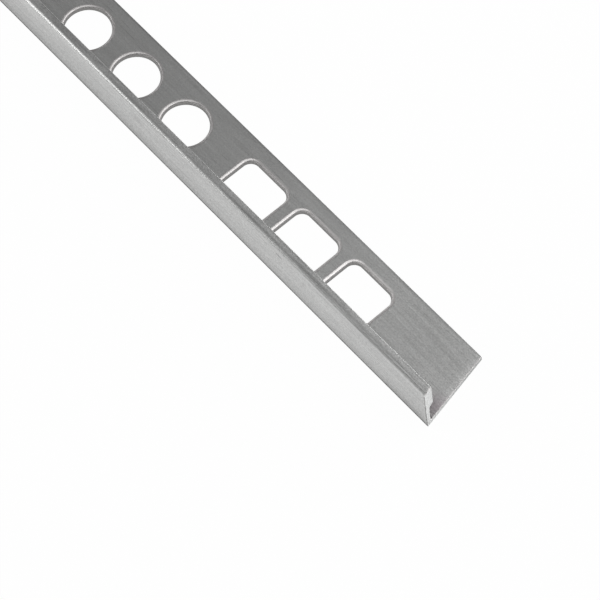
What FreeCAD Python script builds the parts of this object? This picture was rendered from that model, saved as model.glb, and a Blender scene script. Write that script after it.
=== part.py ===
import FreeCAD, Part
import math
import os

# Bar
bar_length = 1000.0
flange_width = 25.0
leg_height = 17.5

# Walls and head of the L-shaped section
flange_thickness = 1.4
leg_thickness = 1.4
head_width = 3.15
head_depth = 8.2
ledge_drop = 0.8

# Section corner radii
top_outer_radius = 1.15
top_inner_radius = 0.35
head_lower_radius = 0.2
ledge_root_radius = 0.3
flange_root_radius = 0.5
flange_tip_radius = 0.1

# Saw cut at the +X end, leaning from square in plan and in side view
saw_plan_angle = 11.3
saw_side_angle = 5.8

# Punched openings, in groups of windows followed by round holes
hole_diameter = 14.4
window_length = 17.0
window_width = 13.6
window_corner_radius = 3.0
opening_pitch = 22.3
group_gap = 30.2
windows_per_group = 3
holes_per_group = 3
sawn_end_margin = 43.1
plain_end_margin = 12.0
openings_offset = 0.25

# Places that follow from the sizes above
outer_face = -flange_width / 2
sawn_end = bar_length / 2
plain_end = -bar_length / 2
openings_line = outer_face + flange_width / 2 + openings_offset
punch_reach = 2 * flange_thickness


def rounded_outline(corners):
    """Closed wire through (point, radius) corners, each radius a tangent arc."""
    edges = []
    points = [point for point, radius in corners]
    starts, ends = [], []
    for i, (corner, radius) in enumerate(corners):
        before = (points[i - 1] - corner).normalize()
        after = (points[(i + 1) % len(points)] - corner).normalize()
        half_angle = before.getAngle(after) / 2
        setback = radius / math.tan(half_angle)
        starts.append(corner + before * setback)
        ends.append(corner + after * setback)
        if radius > 0:
            bisector = (before + after).normalize()
            centre = corner + bisector * (radius / math.sin(half_angle))
            middle = centre - bisector * radius
            edges.append(Part.Arc(starts[i], middle, ends[i]).toShape())
    for i in range(len(points)):
        edges.append(Part.LineSegment(ends[i], starts[(i + 1) % len(points)]).toShape())
    return Part.Wire(Part.__sortEdges__(edges))


def section_wire():
    """Outline of the bar's section at its plain end, in the YZ plane."""
    def at(y, z):
        return FreeCAD.Vector(plain_end, outer_face + y, z)

    ledge_height = leg_height - head_depth
    return rounded_outline([
        (at(0, 0), 0),
        (at(flange_width, 0), flange_tip_radius),
        (at(flange_width, flange_thickness), flange_tip_radius),
        (at(leg_thickness, flange_thickness), flange_root_radius),
        (at(leg_thickness, ledge_height - ledge_drop), ledge_root_radius),
        (at(head_width, ledge_height), head_lower_radius),
        (at(head_width, leg_height), top_inner_radius),
        (at(0, leg_height), top_outer_radius),
    ])


def saw_waste():
    """Block beyond the saw plane, which passes through the bar's outer bottom corner."""
    plan_slope = math.tan(math.radians(saw_plan_angle))
    side_slope = math.tan(math.radians(saw_side_angle))
    normal = FreeCAD.Vector(1, plan_slope, side_slope)
    reach = 4 * (flange_width + leg_height)
    block = Part.makeBox(reach, 2 * reach, 2 * reach, FreeCAD.Vector(0, -reach, -reach))
    corner = FreeCAD.Vector(sawn_end, outer_face, 0)
    block.Placement = FreeCAD.Placement(corner, FreeCAD.Rotation(FreeCAD.Vector(1, 0, 0), normal))
    return block


def hole_punch(x):
    """Round punch that goes through the flange."""
    base = FreeCAD.Vector(x, openings_line, -punch_reach)
    return Part.makeCylinder(hole_diameter / 2, flange_thickness + 2 * punch_reach, base)


def window_punch(x):
    """Rounded oblong punch that goes through the flange."""
    half_length, half_width = window_length / 2, window_width / 2
    corners = []
    for along, across in ((-1, -1), (1, -1), (1, 1), (-1, 1)):
        point = FreeCAD.Vector(x + along * half_length, openings_line + across * half_width, -punch_reach)
        corners.append((point, window_corner_radius))
    face = Part.Face(rounded_outline(corners))
    return face.extrude(FreeCAD.Vector(0, 0, flange_thickness + 2 * punch_reach))


def punches():
    """Punches of every group that fits, from the sawn end to the plain end."""
    tools = []
    last_x = plain_end + plain_end_margin + max(hole_diameter, window_length) / 2
    x = sawn_end - sawn_end_margin
    while x >= last_x:
        for count, punch in ((windows_per_group, window_punch), (holes_per_group, hole_punch)):
            for i in range(count):
                if x >= last_x:
                    tools.append(punch(x))
                x -= opening_pitch if i < count - 1 else group_gap
    return tools


def trim_profile():
    """The extruded bar with its saw cut and its punched flange."""
    bar = Part.Face(section_wire()).extrude(FreeCAD.Vector(bar_length, 0, 0))
    return bar.cut([saw_waste()] + punches())


os.makedirs("parts", exist_ok=True)
trim_profile().Solids[0].exportStep("parts/trim_profile.step")
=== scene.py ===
import math

import bmesh
import bpy
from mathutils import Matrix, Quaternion, Vector, noise
from mathutils.geometry import delaunay_2d_cdt


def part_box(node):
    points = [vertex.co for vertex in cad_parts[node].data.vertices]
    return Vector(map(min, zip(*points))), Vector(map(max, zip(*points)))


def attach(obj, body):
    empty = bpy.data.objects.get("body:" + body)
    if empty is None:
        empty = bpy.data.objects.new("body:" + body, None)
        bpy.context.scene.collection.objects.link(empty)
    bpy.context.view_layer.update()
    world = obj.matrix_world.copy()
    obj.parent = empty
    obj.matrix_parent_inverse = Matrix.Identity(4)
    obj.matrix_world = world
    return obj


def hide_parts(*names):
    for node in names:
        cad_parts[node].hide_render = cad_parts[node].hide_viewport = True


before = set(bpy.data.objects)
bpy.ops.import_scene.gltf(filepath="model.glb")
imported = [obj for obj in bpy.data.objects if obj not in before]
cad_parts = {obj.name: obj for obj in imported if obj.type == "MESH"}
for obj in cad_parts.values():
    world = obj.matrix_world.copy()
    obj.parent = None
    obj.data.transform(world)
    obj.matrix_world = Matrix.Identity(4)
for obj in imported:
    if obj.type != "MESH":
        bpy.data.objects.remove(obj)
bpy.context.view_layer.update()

MM = 0.001
low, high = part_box("trim_profile")

# Section of the bar, in millimetres
FLANGE_WIDTH = (high.y - low.y) / MM
LEG_HEIGHT = (high.z - low.z) / MM
FLANGE_THICKNESS = 1.4
LEG_THICKNESS = 1.4
HEAD_WIDTH = 3.15
HEAD_DEPTH = 8.2
LEDGE_DROP = 0.8
TOP_OUTER_RADIUS = 1.15
TOP_INNER_RADIUS = 0.35
FOOT_RADIUS = 0.1
HEAD_LOWER_RADIUS = 0.2
LEDGE_ROOT_RADIUS = 0.3
FLANGE_ROOT_RADIUS = 0.5
FLANGE_TIP_RADIUS = 0.1
ARC_STEPS = 12

# Ends of the bar, in millimetres and degrees
PLAIN_END = low.x / MM
SAWN_END = high.x / MM
OUTER_FACE = low.y / MM
SAW_PLAN_ANGLE = 11.3
SAW_SIDE_ANGLE = 5.8

# Punched openings, in millimetres
HOLE_DIAMETER = 14.4
WINDOW_LENGTH = 17.0
WINDOW_WIDTH = 13.6
WINDOW_CORNER_RADIUS = 3.0
OPENING_PITCH = 22.3
GROUP_GAP = 30.2
WINDOWS_PER_GROUP = 3
HOLES_PER_GROUP = 3
SAWN_END_MARGIN = 43.1
PLAIN_END_MARGIN = 12.0
OPENINGS_OFFSET = 0.25
HOLE_STEPS = 72
WINDOW_CORNER_STEPS = 12

# Rim of an opening: how far it stands back from the punched outline, at each share of the
# thickness. The drawn-in band comes first, then the sheared wall.
RIM = ((1.20, 1.0), (1.02, 0.988), (0.74, 0.94), (0.48, 0.865), (0.34, 0.80), (0.26, 0.70),
       (0.18, 0.45), (0.08, 0.20), (0.02, 0.03), (0.05, 0.0))
DRAWN_LEVELS = 5

# Ragged edge of an end, in millimetres. A spot is its y from the outer face, its z and its radius;
# a waver is its waves per millimetre and its layer of the noise.
BURR_SPOT = (0.2, LEG_HEIGHT - 0.5, 0.32)
NOTCH_SPOT = (0.72, LEG_HEIGHT - 0.1, 0.26)
ROUGH_WAVER = (3.3, 11.0)
TORN_WAVER = (2.1, 3.0)
LIP_WAVER = (1.3, 7.0)
# How far back from the end the lip starts, how much that wavers, and its share off the outer face
LIP_LENGTH = 0.30
LIP_LENGTH_SWING = 0.20
INNER_LIP_SHARE = 0.6
# How far the lip and the flat face stand in from the section's outline: everywhere, and more or
# less where the edge is rough, torn, burred and notched
LIP_INSET = (0.02, 0.0, 0.15, -0.45, 0.4)
FACE_INSET = (0.11, 0.11, 0.30, -0.42, 0.55)
FACE_MARGIN = 0.02
# How far the lip stands out of the end, from what roughness on, and how far the burr bends back
LIP_RISE = 0.10
LIP_RISE_LEVEL = 0.4
BURR_FALL = 0.15

# Mesh: the step that an outline is divided in, the longest side of a rounded corner and the play
# of a point on the outer face, in millimetres; the least bend that narrows an inset, in radians;
# where the long faces are divided, as shares of the length; and sharp edges, in degrees
CUT_STEP = 0.2
ARC_SIDE_LIMIT = 0.4
TOUCHING = 0.01
LEAST_BEND = 0.01
STATIONS = (0.5, 0.9)
SHARP_ANGLE = 35
# What the triangulation keeps, and the distance at which it joins points
INSIDE_ONLY = 1
JOIN_DISTANCE = 1e-6

# Material slots, in the order in which make_trim adds them
MILL, SAWN, DRAWN, SHADED_SHEAR = range(4)

# Noise of the looks: features per metre along and across the bar, detail, and the two values that
# it runs between. Two more numbers are the part of the noise that is used.
SPECK = (1900, 2300, 2.0, 0.79, 1.21)
GRAIN = (500, 1500, 3.0, 0.975, 1.025)
HAIRLINE = (28, 2600, 2.0, 0.88, 1.12)
CLOUD = (60, 320, 3.0, 0.97, 1.03)
SCRATCH = (90, 2600, 1.0, 1.0, 0.72, 0.70, 0.76)
BROKEN = (330, 900, 1.0, 0.0, 1.0, 0.50, 0.56)
SHEEN = (60, 900, 2.0, -0.05, 0.05)
# Relief: features per metre along and across the bar, then its strength and its height in metres
HAIRLINE_RELIEF = (40, 5000, 0.09, 0.00003)
TOOTH_RELIEF = (2500, 1200, 0.5, 0.00005)

MILL_GREY = (0.546, 0.548, 0.542)
MILL_ROUGHNESS = 0.41
# Colour of the purple-tinted painted shade in the inner corner near the cut
CORNER_SHADE_COLOUR = (0.445, 0.415, 0.43)
# Colour, roughness, size of the grain per metre, and its depth
SAWN_LOOK = ((0.80, 0.805, 0.80), 0.42, 1500, 0.20)
DRAWN_LOOK = ((0.495, 0.482, 0.478), 0.41, 2500, 0.10)
# The sheared walls and the lip along the outer face are darkened with painted shade
SHADED_SHEAR_LOOK = ((0.30, 0.295, 0.29), 0.45, 2500, 0.15)

# Places on the bar, in metres: the centre, and how far each one reaches along x, y and z. A place
# is whole out to SMEAR_CORE of its reach, and fades from there.
FLANGE_TOP = FLANGE_THICKNESS * MM
ENDLESS = 1000
SMEAR_CORE = 0.2
TOP_EDGE = ((0, low.y + 0.0004, high.z - 0.0004), (ENDLESS, 0.0018, 0.0018))
TOP_OF_FLANGE = ((0, 0.0015, FLANGE_TOP), (ENDLESS, 0.055, 0.0015))
FLANGE_END = ((0.4965, 0.001, FLANGE_TOP), (0.03, 0.03, 0.004))
DASHED_ROW = ((0.4395, low.y, 0.0146), (0.0085, 0.01, 0.0008))
# Purple-tinted painted shade in the inner corner near the cut
CORNER_SHADE = ((0.4972, -0.0072, FLANGE_TOP), (0.0055, 0.0052, 0.004))
FLANGE_OF_CUT = ((0, 0.012, 0), (ENDLESS, 0.0235, ENDLESS))
NEAR_CUT = ((high.x, 0, 0), (0.13, ENDLESS, ENDLESS))
# Marks and painted shade on the mill finish: such a place, and the tone there. A tone of 1 is no
# change.
MARKS_AND_SHADE = (
    # painted shade darkening the end of the flange, and a scuff on the finishing face
    (FLANGE_END, 0.90),
    (((0.377, low.y, 0.0125), (0.0035, 0.01, 0.0022)), 0.84),
    # painted shade in the inner corner near the cut, and a painted shadow in its pocket at the cut
    (((0.492, -0.0092, FLANGE_TOP), (0.014, 0.004, 0.004)), 0.82),
    (((0.4991, -0.0106, FLANGE_TOP), (0.0014, 0.0009, 0.003)), 0.40),
    # painted shade at the foot of the finishing face, and painted shade on its lower half
    (((0, low.y, 0), (ENDLESS, 0.002, 0.0012)), 0.24),
    (((0.28, low.y, 0.003), (0.16, 0.01, 0.012)), 0.86),
    # painted shade along the outer edge of the flange
    (((0, high.y, FLANGE_TOP), (ENDLESS, 0.0009, 0.002)), 0.76),
    # painted shade along the head's top
    (((0.48, low.y + 0.0007, high.z), (0.14, 0.0018, 0.0003)), 0.71),
)
DASH_TONE = 0.45
# Painted highlight along the flange at the saw cut
CUT_HIGHLIGHT_TONE = 1.20
# Painted shade on the flange's part of the saw cut
FLANGE_OF_CUT_SHADE = 0.70
# Painted highlight on the drawn-in bands near the cut
DRAWN_NEAR_CUT_HIGHLIGHT = 1.35
# How much of the texture is left along the head's top edge and on the flange, and how much of
# that calming is left at the cut
TOP_EDGE_TEXTURE = 0.35
FLANGE_TEXTURE = 0.42
CALMING_AT_CUT = 0.35
# Distances from the saw cut between which a look fades in or out, in metres
CUT_HIGHLIGHT_FADE = (0.0004, 0.0026)
CALMING_FADE = (0.015, 0.06)
OPENINGS_FADE = (0.002, 0.012)

# Floor and world: lengths in metres, and shares of white
FLOOR_HALF = 15.0
FLOOR_GAP = 0.0002
FLOOR_COLOUR = (0.85, 0.85, 0.85, 1)
FLOOR_SEEN = 0.98
FLOOR_REFLECTED = 0.8
CONTACT_DISTANCE = 0.0028
CONTACT_POWER = 1.5
WORLD_LIGHT = 0.09
WORLD_SEEN = 1.0
WORLD_REFLECTED = 0.06

# Lamps: name, place, the point each one faces, width and depth in metres, and power in watts
LAMPS = (
    ("overhead_softbox", (high.x + 0.25, 0.35, 0.8), (high.x, 0, 0), 0.7, 0.7, 3.5),
    ("front_panel", (-1.03, -1.0, 0.4), (-1.03, 0, 0), 1.2, 0.7, 20.0),
    ("corner_panel", (-0.42, -0.57, 0.68), (-0.42, 0, 0), 0.7, 0.52, 2.6),
    ("rim_panel", (0.37, -0.12, 0.95), (0.36, 0, 0), 0.2, 0.2, 0.90),
    ("back_panel", (0.42, 1.0, 0.45), (0.42, 0, 0), 0.5, 0.4, 3.6),
    ("end_panel", (-0.95, 0.22, 0.76), (0.4, 0, 0), 0.6, 0.6, 1.5),
)

# Camera, in degrees, metres and millimetres of lens
CAMERA_AZIMUTH = 51.673
CAMERA_ELEVATION = 62.958
CAMERA_ROLL = -3.545
CAMERA_LOCATION = (0.72417, -0.23162, 0.69185)
CAMERA_LENS = 165.65
CAMERA_CLIP = (0.01, 100)


def plain_x(y, z):
    """X of the plain end, which is square."""
    return PLAIN_END


def saw_x(y, z):
    """X of the saw plane, which passes through the outer bottom corner of the bar."""
    plan = math.tan(math.radians(SAW_PLAN_ANGLE)) * (y - OUTER_FACE)
    side = math.tan(math.radians(SAW_SIDE_ANGLE)) * z
    return SAWN_END - plan - side


# Ends of the bar: X of the plane, the way it faces along X, and how damaged its edge is
ENDS = ((plain_x, -1, 0.0), (saw_x, 1, 1.0))


def rounded(corners):
    """Points of a closed outline from (x, y, radius) corners, each radius as a row of points."""
    points = []
    for i, (x, y, radius) in enumerate(corners):
        corner = Vector((x, y))
        before = (Vector(corners[i - 1][:2]) - corner).normalized()
        after = (Vector(corners[(i + 1) % len(corners)][:2]) - corner).normalized()
        half_angle = before.angle(after) / 2
        setback = radius / math.tan(half_angle)
        centre = corner + (before + after).normalized() * (radius / math.sin(half_angle))
        start = corner + before * setback - centre
        turn = start.angle_signed(corner + after * setback - centre)
        for step in range(ARC_STEPS + 1):
            angle = -turn * step / ARC_STEPS
            spoke = Vector((start.x * math.cos(angle) - start.y * math.sin(angle),
                            start.x * math.sin(angle) + start.y * math.cos(angle)))
            points.append(centre + spoke)
    return points


def section():
    """Outline of the bar's section as (y, z) points, from the foot of the leg along the bottom."""
    top = LEG_HEIGHT
    ledge = top - HEAD_DEPTH
    outline = rounded([
        (0, 0, FOOT_RADIUS),
        (FLANGE_WIDTH, 0, FLANGE_TIP_RADIUS),
        (FLANGE_WIDTH, FLANGE_THICKNESS, FLANGE_TIP_RADIUS),
        (LEG_THICKNESS, FLANGE_THICKNESS, FLANGE_ROOT_RADIUS),
        (LEG_THICKNESS, ledge - LEDGE_DROP, LEDGE_ROOT_RADIUS),
        (HEAD_WIDTH, ledge, HEAD_LOWER_RADIUS),
        (HEAD_WIDTH, top, TOP_INNER_RADIUS),
        (0, top, TOP_OUTER_RADIUS),
    ])
    return [(OUTER_FACE + p.x, p.y) for p in outline]


def opening_places():
    """(kind, x) of every opening, from the sawn end to the plain end."""
    places = []
    last_x = PLAIN_END + PLAIN_END_MARGIN + max(HOLE_DIAMETER, WINDOW_LENGTH) / 2
    x = SAWN_END - SAWN_END_MARGIN
    while x >= last_x:
        for kind, count in (("window", WINDOWS_PER_GROUP), ("hole", HOLES_PER_GROUP)):
            for i in range(count):
                if x >= last_x:
                    places.append((kind, x))
                x -= OPENING_PITCH if i < count - 1 else GROUP_GAP
    return places


def opening_loop(kind, x, offset):
    """Points round an opening, offset outwards into the metal."""
    y = OPENINGS_OFFSET
    if kind == "hole":
        radius = HOLE_DIAMETER / 2 + offset
        turns = [math.tau * i / HOLE_STEPS for i in range(HOLE_STEPS)]
        return [(x + radius * math.cos(a), y + radius * math.sin(a)) for a in turns]
    points = []
    radius = WINDOW_CORNER_RADIUS + offset
    reach_x = WINDOW_LENGTH / 2 - WINDOW_CORNER_RADIUS
    reach_y = WINDOW_WIDTH / 2 - WINDOW_CORNER_RADIUS
    for quarter, (side_x, side_y) in enumerate(((1, 1), (-1, 1), (-1, -1), (1, -1))):
        for step in range(WINDOW_CORNER_STEPS + 1):
            a = math.pi / 2 * (quarter + step / WINDOW_CORNER_STEPS)
            points.append((x + side_x * reach_x + radius * math.cos(a),
                           y + side_y * reach_y + radius * math.sin(a)))
    return points


class Bar:
    """Collects the faces of the bar by material, sharing points that fall together."""

    def __init__(self):
        self.mesh = bmesh.new()
        self.points = {}

    def point(self, x, y, z):
        key = (round(x, 4), round(y, 4), round(z, 4))
        if key not in self.points:
            self.points[key] = self.mesh.verts.new((x * MM, y * MM, z * MM))
        return self.points[key]

    def face(self, corners, slot, smooth=False):
        verts = [self.point(*c) for c in corners]
        if len(set(verts)) < len(verts):
            return
        face = self.mesh.faces.new(verts)
        face.material_index = slot
        face.smooth = smooth

    def band(self, first, second, slots, smooth=False):
        """Faces between two closed loops with the same number of points, with a slot for each."""
        for i, slot in enumerate(slots):
            j = (i + 1) % len(first)
            self.face([first[i], first[j], second[j], second[i]], slot, smooth)

    def filled(self, outline, loops, place, slot):
        """Flat face with openings, cut into triangles between its outline and the loops.

        The outline and loops are in the plane of the face, and place turns their points into
        (x, y, z)."""
        area = sum(a[0] * b[1] - b[0] * a[1] for a, b in zip(outline, outline[1:] + outline[:1]))
        flat, faces = [], []
        for loop in [outline if area > 0 else outline[::-1]] + loops:
            faces.append(list(range(len(flat), len(flat) + len(loop))))
            flat += loop
        _, _, triangles, given, _, origins = delaunay_2d_cdt(
            [Vector(p) for p in flat], [], faces, INSIDE_ONLY, JOIN_DISTANCE, True)
        for triangle, origin in zip(triangles, origins):
            if 0 in origin and len(origin) == 1:
                self.face([place(*flat[given[i][0]]) for i in triangle], slot)


def divided(outline):
    """The outline with its long sides divided finely, as lists of points, one list a side."""
    sides = []
    for i, start in enumerate(outline):
        end = outline[(i + 1) % len(outline)]
        count = max(1, round(math.dist(start, end) / CUT_STEP))
        sides.append([(start[0] + (end[0] - start[0]) * k / count,
                       start[1] + (end[1] - start[1]) * k / count) for k in range(count + 1)])
    return sides


def inset(ring, depths):
    """Each point of the closed ring moved inwards by its depth, or less in a tight corner."""
    moved = []
    for i, point in enumerate(ring):
        before = Vector(point) - Vector(ring[i - 1])
        after = Vector(ring[(i + 1) % len(ring)]) - Vector(point)
        turn = -before.angle_signed(after)
        depth = depths[i]
        if turn > LEAST_BEND:
            depth = min(depth, 0.5 * min(before.length, after.length) / turn)
        along = (before + after).normalized()
        moved.append((point[0] - along.y * depth, point[1] + along.x * depth))
    return moved


def waver(y, z, scale, layer):
    """Smooth noise over the section, between -1 and 1."""
    return noise.noise(Vector((y * scale, z * scale, layer)))


def spot(y, z, centre_y, centre_z, radius):
    """1 at a spot of the section and 0 away from it."""
    return math.exp(-((y - OUTER_FACE - centre_y) ** 2 + (z - centre_z) ** 2) / radius ** 2)


def on_outer_face(y):
    return y < OUTER_FACE + TOUCHING


def lip_start(y, z, plane_x, facing):
    """Where the ragged lip starts, a little way back from the plane of the end."""
    share = 1.0 if on_outer_face(y) else INNER_LIP_SHARE
    length = share * (LIP_LENGTH + LIP_LENGTH_SWING * waver(y, z, *LIP_WAVER))
    return plane_x(y, z) - facing * length, y, z


def flaws_at(y, z, damage):
    """1, and how rough, torn, burred and notched the edge is at a point of the section."""
    return (1.0, waver(y, z, *ROUGH_WAVER), damage * max(waver(y, z, *TORN_WAVER), 0.0),
            damage * spot(y, z, *BURR_SPOT), damage * spot(y, z, *NOTCH_SPOT))


def weighed(flaws, weights):
    """Depth of the inset at every point, from the weight of each flaw."""
    return [sum(weight * flaw for weight, flaw in zip(weights, point)) for point in flaws]


def build_end(bar, sides, plane_x, facing, damage):
    """Ragged edge and flat face of one end."""
    ring = [point for side in sides for point in side[:-1]]
    flaws = [flaws_at(y, z, damage) for y, z in ring]
    start = [lip_start(y, z, plane_x, facing) for y, z in ring]
    lip, face = [], []
    for (y, z), (_, rough, _, burr, _) in zip(inset(ring, weighed(flaws, LIP_INSET)), flaws):
        rise = damage * LIP_RISE * max(LIP_RISE_LEVEL + rough, 0.0) - BURR_FALL * burr
        x = plane_x(y, z) + facing * rise
        lip.append((min(x, SAWN_END), max(y, OUTER_FACE), min(z, LEG_HEIGHT)))
    for y, z in inset(ring, weighed(flaws, FACE_INSET)):
        face.append((max(y, OUTER_FACE + FACE_MARGIN), min(z, LEG_HEIGHT - FACE_MARGIN)))
    # The lip along the outer face is darkened with painted shade
    bar.band(start, lip, [SHADED_SHEAR if on_outer_face(y) else DRAWN for y, z in ring])
    bar.band(lip, [(plane_x(y, z), y, z) for y, z in face], [SAWN] * len(ring))
    bar.filled(face, [], lambda y, z: (plane_x(y, z), y, z), SAWN)


def build_sides(bar, sides):
    """Long faces of the bar; returns the outlines of the flange's two wide faces, bottom first."""
    stations = [PLAIN_END + share * (SAWN_END - PLAIN_END) for share in STATIONS]
    wide = []
    for side in sides:
        (y0, z0), (y1, z1) = side[0], side[-1]
        first, last = ([lip_start(y, z, plane_x, facing) for y, z in side]
                       for plane_x, facing, _ in ENDS)
        if abs(y1 - y0) > FLANGE_WIDTH / 2:
            near = [(x, y0) for x in stations]
            far = [(x, y1) for x in stations]
            wide.append([(x, y) for x, y, z in first[::-1]] + near
                        + [(x, y) for x, y, z in last] + far[::-1])
            continue
        smooth = math.dist(side[0], side[-1]) < ARC_SIDE_LIMIT
        columns = [first] + [[(x, y0, z0), (x, y1, z1)] for x in stations] + [last]
        for here, there in zip(columns, columns[1:]):
            bar.face(here + there[::-1], MILL, smooth)
    return wide


def build_rims(bar, places):
    """Drawn-in band and sheared wall of every opening."""
    for kind, x in places:
        levels = [[(*point, share * FLANGE_THICKNESS) for point in opening_loop(kind, x, offset)]
                  for offset, share in RIM]
        for level, (upper, lower) in enumerate(zip(levels, levels[1:])):
            # The sheared wall below the drawn-in band is darkened with painted shade
            slot = DRAWN if level < DRAWN_LEVELS else SHADED_SHEAR
            bar.band(upper, lower, [slot] * len(upper), smooth=True)


def build_bar():
    bar = Bar()
    sides = divided(section())
    for plane_x, facing, damage in ENDS:
        build_end(bar, sides, plane_x, facing, damage)
    bottom, top = build_sides(bar, sides)
    places = opening_places()
    for edge, height, offset in ((top, FLANGE_THICKNESS, RIM[0][0]), (bottom, 0.0, RIM[-1][0])):
        loops = [opening_loop(kind, x, offset) for kind, x in places]
        bar.filled(edge, loops, lambda x, y: (x, y, height), MILL)
    build_rims(bar, places)
    bmesh.ops.recalc_face_normals(bar.mesh, faces=bar.mesh.faces)
    for edge in bar.mesh.edges:
        edge.smooth = edge.calc_face_angle(math.pi) < math.radians(SHARP_ANGLE)
    return bar.mesh


def shader_tree(name):
    material = bpy.data.materials.new(name)
    material.use_nodes = True
    material.node_tree.nodes.clear()
    return material, material.node_tree


def node(tree, kind, **settings):
    made = tree.nodes.new(kind)
    for key, value in settings.items():
        if key in made.inputs:
            made.inputs[key].default_value = value
        else:
            setattr(made, key, value)
    return made


def feed(tree, socket, value):
    """Gives a socket a value, which is the output of another node, a number or a colour."""
    if isinstance(value, bpy.types.NodeSocket):
        tree.links.new(value, socket)
    else:
        socket.default_value = value


def operated(tree, kind, operation, values):
    """Outputs of a Math or Vector Math node that is fed the values in order."""
    made = node(tree, kind, operation=operation)
    for socket, value in zip(made.inputs, values):
        feed(tree, socket, value)
    return made.outputs


def calculated(tree, operation, *numbers):
    return operated(tree, "ShaderNodeMath", operation, numbers)[0]


def vector_math(tree, operation, *vectors):
    return operated(tree, "ShaderNodeVectorMath", operation, vectors)


def multiplied(tree, *parts):
    product = parts[0]
    for part in parts[1:]:
        product = calculated(tree, "MULTIPLY", product, part)
    return product


def remap(tree, value, low_out, high_out, low_in, high_in):
    """Runs from low_out to high_out as the value runs from low_in to high_in."""
    span = node(tree, "ShaderNodeMapRange", **{
        "From Min": low_in, "From Max": high_in, "To Min": low_out, "To Max": high_out})
    feed(tree, span.inputs["Value"], value)
    return span.outputs["Result"]


def faded(tree, share, off, on):
    """Runs from off to on as the share runs from 0 to 1."""
    return remap(tree, share, off, on, 0.0, 1.0)


def evened(tree, tone, share):
    """The tone with only a share of its distance from 1."""
    swing = calculated(tree, "SUBTRACT", tone, 1.0)
    return calculated(tree, "ADD", multiplied(tree, swing, share), 1.0)


def stretched_noise(tree, along, across, detail=2.0):
    """Noise value whose features are 1/along long and 1/across wide, in metres."""
    place = node(tree, "ShaderNodeTexCoord")
    stretch = node(tree, "ShaderNodeMapping", Scale=(along, across, across))
    texture = node(tree, "ShaderNodeTexNoise", Scale=1.0, Detail=detail, Roughness=0.6)
    tree.links.new(place.outputs["Object"], stretch.inputs["Vector"])
    tree.links.new(stretch.outputs["Vector"], texture.inputs["Vector"])
    return texture.outputs["Fac"]


def noisy(tree, along, across, detail, low_out, high_out, low_in=0.3, high_in=0.7):
    """Such a noise, running from low_out to high_out where it is between low_in and high_in."""
    value = stretched_noise(tree, along, across, detail)
    return remap(tree, value, low_out, high_out, low_in, high_in)


def tinted(tree, colour, value):
    """The colour, made lighter and darker by a value round 1."""
    scaled = node(tree, "ShaderNodeVectorMath", operation="SCALE")
    feed(tree, scaled.inputs[0], colour)
    feed(tree, scaled.inputs["Scale"], value)
    return scaled.outputs[0]


def blended(tree, first, second, share):
    """The first colour, turning into the second with the share."""
    mix = node(tree, "ShaderNodeMix", data_type="RGBA")
    factor, first_colour, second_colour = (mix.inputs[i] for i in (0, 6, 7))
    first_colour.default_value = (*first, 1)
    second_colour.default_value = (*second, 1)
    tree.links.new(share, factor)
    return mix.outputs[2]


def from_cut(tree):
    """Distance from the saw cut along the bar, in metres."""
    place = node(tree, "ShaderNodeTexCoord")
    plan = math.tan(math.radians(SAW_PLAN_ANGLE))
    side = math.tan(math.radians(SAW_SIDE_ANGLE))
    across = vector_math(tree, "DOT_PRODUCT", place.outputs["Object"], (-1.0, -plan, -side))
    return calculated(tree, "ADD", across["Value"], high.x + plan * low.y)


def smear(tree, centre, reach):
    """1 at a place on the bar and 0 away from it, fading out over its reach, in metres."""
    place = node(tree, "ShaderNodeTexCoord")
    offset = vector_math(tree, "SUBTRACT", place.outputs["Object"], centre)
    scaled = vector_math(tree, "DIVIDE", offset[0], reach)
    length = vector_math(tree, "LENGTH", scaled[0])
    return remap(tree, length["Value"], 1.0, 0.0, SMEAR_CORE, 1.0)


def metal(name, **settings):
    """Bare metal; returns the material, its tree and its shader, which takes the settings."""
    material, tree = shader_tree(name)
    surface = node(tree, "ShaderNodeBsdfPrincipled", Metallic=1.0, **settings)
    output = node(tree, "ShaderNodeOutputMaterial")
    tree.links.new(surface.outputs[0], output.inputs["Surface"])
    return material, tree, surface


def satin_metal(name, colour, roughness, grain_size, grain_depth):
    """Metal of one grey, with a fine grain; returns its colour as well."""
    material, tree, surface = metal(name, Roughness=roughness)
    grain = noisy(tree, grain_size, grain_size, 3.0, 1 - grain_depth, 1 + grain_depth)
    tone = tinted(tree, colour, grain)
    tree.links.new(tone, surface.inputs["Base Color"])
    return material, tree, surface, tone


def bumped(tree, surface, along, across, strength, distance):
    bump = node(tree, "ShaderNodeBump", Strength=strength, Distance=distance)
    tree.links.new(stretched_noise(tree, along, across), bump.inputs["Height"])
    tree.links.new(bump.outputs["Normal"], surface.inputs["Normal"])


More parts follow.
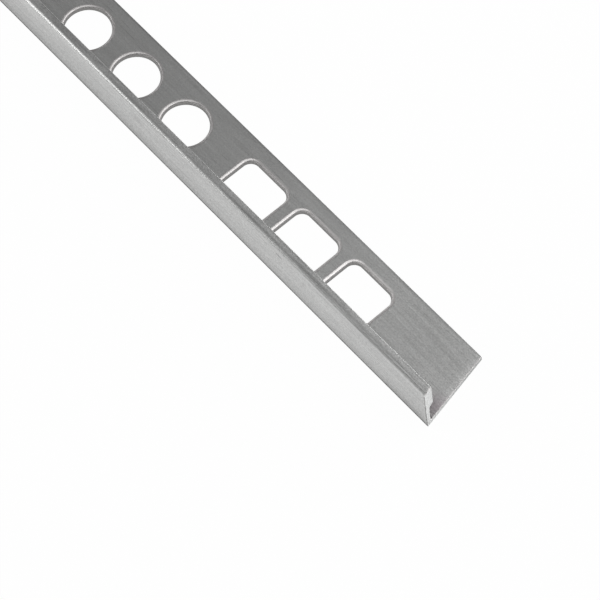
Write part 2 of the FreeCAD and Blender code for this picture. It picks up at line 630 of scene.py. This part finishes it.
def mill_finish():
    """Extruded aluminium as it leaves the die: grey, satin, with hairlines along the bar, a
    painted highlight along the saw cut and painted shade in places.
    """
    material, tree, surface = metal("mill_finish_aluminium")
    cut = from_cut(tree)
    edge_share = faded(tree, smear(tree, *TOP_EDGE), 1.0, TOP_EDGE_TEXTURE)
    calming = remap(tree, cut, CALMING_AT_CUT, 1.0, *CALMING_FADE)
    calming = multiplied(tree, smear(tree, *TOP_OF_FLANGE), calming)
    share = faded(tree, calming, 1.0, FLANGE_TEXTURE)
    speck = evened(tree, noisy(tree, *SPECK), edge_share)
    texture = [noisy(tree, *part) for part in (GRAIN, HAIRLINE, CLOUD)]
    texture = evened(tree, multiplied(tree, speck, *texture), share)
    # Painted highlight along the flange at the saw cut
    painted_light_at_cut = multiplied(tree, smear(tree, *FLANGE_END), remap(tree, cut, 1.0, 0.0, *CUT_HIGHLIGHT_FADE))
    dashes = multiplied(tree, smear(tree, *DASHED_ROW), noisy(tree, *BROKEN))
    # Tone: texture, scratches, dashes, the painted highlight at the cut, a scuff and painted shade
    tone = multiplied(tree, texture, noisy(tree, *SCRATCH),
                      faded(tree, painted_light_at_cut, 1.0, CUT_HIGHLIGHT_TONE), faded(tree, dashes, 1.0, DASH_TONE),
                      *(faded(tree, smear(tree, *place), 1.0, mark) for place, mark in MARKS_AND_SHADE))
    # Purple-tinted painted shade in the inner corner near the cut
    colour = blended(tree, MILL_GREY, CORNER_SHADE_COLOUR, smear(tree, *CORNER_SHADE))
    tree.links.new(tinted(tree, colour, tone), surface.inputs["Base Color"])
    sheen = multiplied(tree, noisy(tree, *SHEEN), share)
    tree.links.new(calculated(tree, "ADD", sheen, MILL_ROUGHNESS), surface.inputs["Roughness"])
    bumped(tree, surface, *HAIRLINE_RELIEF)
    return material


def sawn_metal():
    """Fresh saw-cut aluminium: brighter, with fine tooth marks, and painted shade along the
    flange.
    """
    material, tree, surface, tone = satin_metal("sawn_aluminium", *SAWN_LOOK)
    # Painted shade on the flange's part of the cut
    painted_light_at_cut = faded(tree, smear(tree, *FLANGE_OF_CUT), 1.0, FLANGE_OF_CUT_SHADE)
    tree.links.new(tinted(tree, tone, painted_light_at_cut), surface.inputs["Base Color"])
    bumped(tree, surface, *TOOTH_RELIEF)
    return material


def drawn_metal():
    """Smooth band drawn in round a punched opening, with a painted highlight near the cut but not
    at its lip.
    """
    material, tree, surface, tone = satin_metal("drawn_in_aluminium", *DRAWN_LOOK)
    # Painted highlight on the drawn-in bands near the cut, away from the lip
    openings_only = remap(tree, from_cut(tree), 0.0, 1.0, *OPENINGS_FADE)
    near_cut = multiplied(tree, smear(tree, *NEAR_CUT), openings_only)
    brighter = faded(tree, near_cut, 1.0, DRAWN_NEAR_CUT_HIGHLIGHT)
    tree.links.new(tinted(tree, tone, brighter), surface.inputs["Base Color"])
    return material


def shaded_shear_metal():
    """Wall of a punched opening, dark with painted shade where the punch has sheared it."""
    return satin_metal("sheared_aluminium_painted_shade", *SHADED_SHEAR_LOOK)[0]


def add_object(name, data):
    added = bpy.data.objects.new(name, data)
    bpy.context.scene.collection.objects.link(added)
    return added


def make_trim():
    mesh = build_bar()
    data = bpy.data.meshes.new("trim_bar")
    mesh.to_mesh(data)
    mesh.free()
    for material in (mill_finish(), sawn_metal(), drawn_metal(), shaded_shear_metal()):
        data.materials.append(material)
    trim = add_object("trim_bar", data)
    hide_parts("trim_profile")
    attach(trim, "root")


def seen_white(tree, lit, white, seen, reflected):
    """Mixes white into a lit surface, by one share where it is seen and another in reflections."""
    path = node(tree, "ShaderNodeLightPath")
    mirrored = calculated(tree, "MAXIMUM", path.outputs["Is Glossy Ray"],
                          path.outputs["Is Transmission Ray"])
    share = calculated(tree, "MAXIMUM", multiplied(tree, path.outputs["Is Camera Ray"], seen),
                       multiplied(tree, mirrored, reflected))
    mix = node(tree, "ShaderNodeMixShader")
    tree.links.new(share, mix.inputs[0])
    tree.links.new(lit.outputs[0], mix.inputs[1])
    tree.links.new(white.outputs[0], mix.inputs[2])
    return mix.outputs[0]


def make_floor():
    """Pale floor under the bar, whose white is darker in reflections close to the bar."""
    half = FLOOR_HALF
    data = bpy.data.meshes.new("floor")
    data.from_pydata([(-half, -half, 0), (half, -half, 0), (half, half, 0), (-half, half, 0)], [],
                     [(0, 1, 2, 3)])
    floor = add_object("floor", data)
    floor.location.z = low.z - FLOOR_GAP
    material, tree = shader_tree("pale_floor")
    lit = node(tree, "ShaderNodeBsdfDiffuse", Color=FLOOR_COLOUR)
    white = node(tree, "ShaderNodeEmission", Strength=1.0)
    contact = node(tree, "ShaderNodeAmbientOcclusion", Distance=CONTACT_DISTANCE, samples=4)
    openness = calculated(tree, "POWER", contact.outputs["AO"], CONTACT_POWER)
    mixed = seen_white(tree, lit, white, FLOOR_SEEN, multiplied(tree, openness, FLOOR_REFLECTED))
    output = node(tree, "ShaderNodeOutputMaterial")
    tree.links.new(mixed, output.inputs["Surface"])
    data.materials.append(material)


def make_world():
    world = bpy.data.worlds.new("studio")
    bpy.context.scene.world = world
    world.use_nodes = True
    tree = world.node_tree
    tree.nodes.clear()
    grey, white = (node(tree, "ShaderNodeBackground", Color=(1, 1, 1, 1), Strength=strength)
                   for strength in (WORLD_LIGHT, 1.0))
    mixed = seen_white(tree, grey, white, WORLD_SEEN, WORLD_REFLECTED)
    output = node(tree, "ShaderNodeOutputWorld")
    tree.links.new(mixed, output.inputs["Surface"])


def turned_to(direction):
    """Rotation of a lamp or a camera that makes it face a direction."""
    return direction.to_track_quat("-Z", "Y")


def make_lights():
    for name, location, aim, width, depth, power in LAMPS:
        light = bpy.data.lights.new(name, "AREA")
        light.shape = "RECTANGLE"
        light.size, light.size_y, light.energy = width, depth, power
        lamp = add_object(name, light)
        lamp.location = location
        lamp.rotation_mode = "QUATERNION"
        lamp.rotation_quaternion = turned_to(Vector(aim) - Vector(location))


def make_camera():
    data = bpy.data.cameras.new("camera")
    data.lens = CAMERA_LENS
    data.clip_start, data.clip_end = CAMERA_CLIP
    camera = add_object("camera", data)
    azimuth, elevation = math.radians(CAMERA_AZIMUTH), math.radians(CAMERA_ELEVATION)
    back = Vector((math.sin(azimuth) * math.cos(elevation),
                   -math.cos(azimuth) * math.cos(elevation), math.sin(elevation)))
    roll = Quaternion((0, 0, 1), math.radians(CAMERA_ROLL))
    camera.location = CAMERA_LOCATION
    camera.rotation_mode = "QUATERNION"
    camera.rotation_quaternion = turned_to(-back) @ roll
    bpy.context.scene.camera = camera


bpy.context.scene.view_settings.view_transform = "Standard"
make_trim()
make_floor()
make_world()
make_lights()
make_camera()
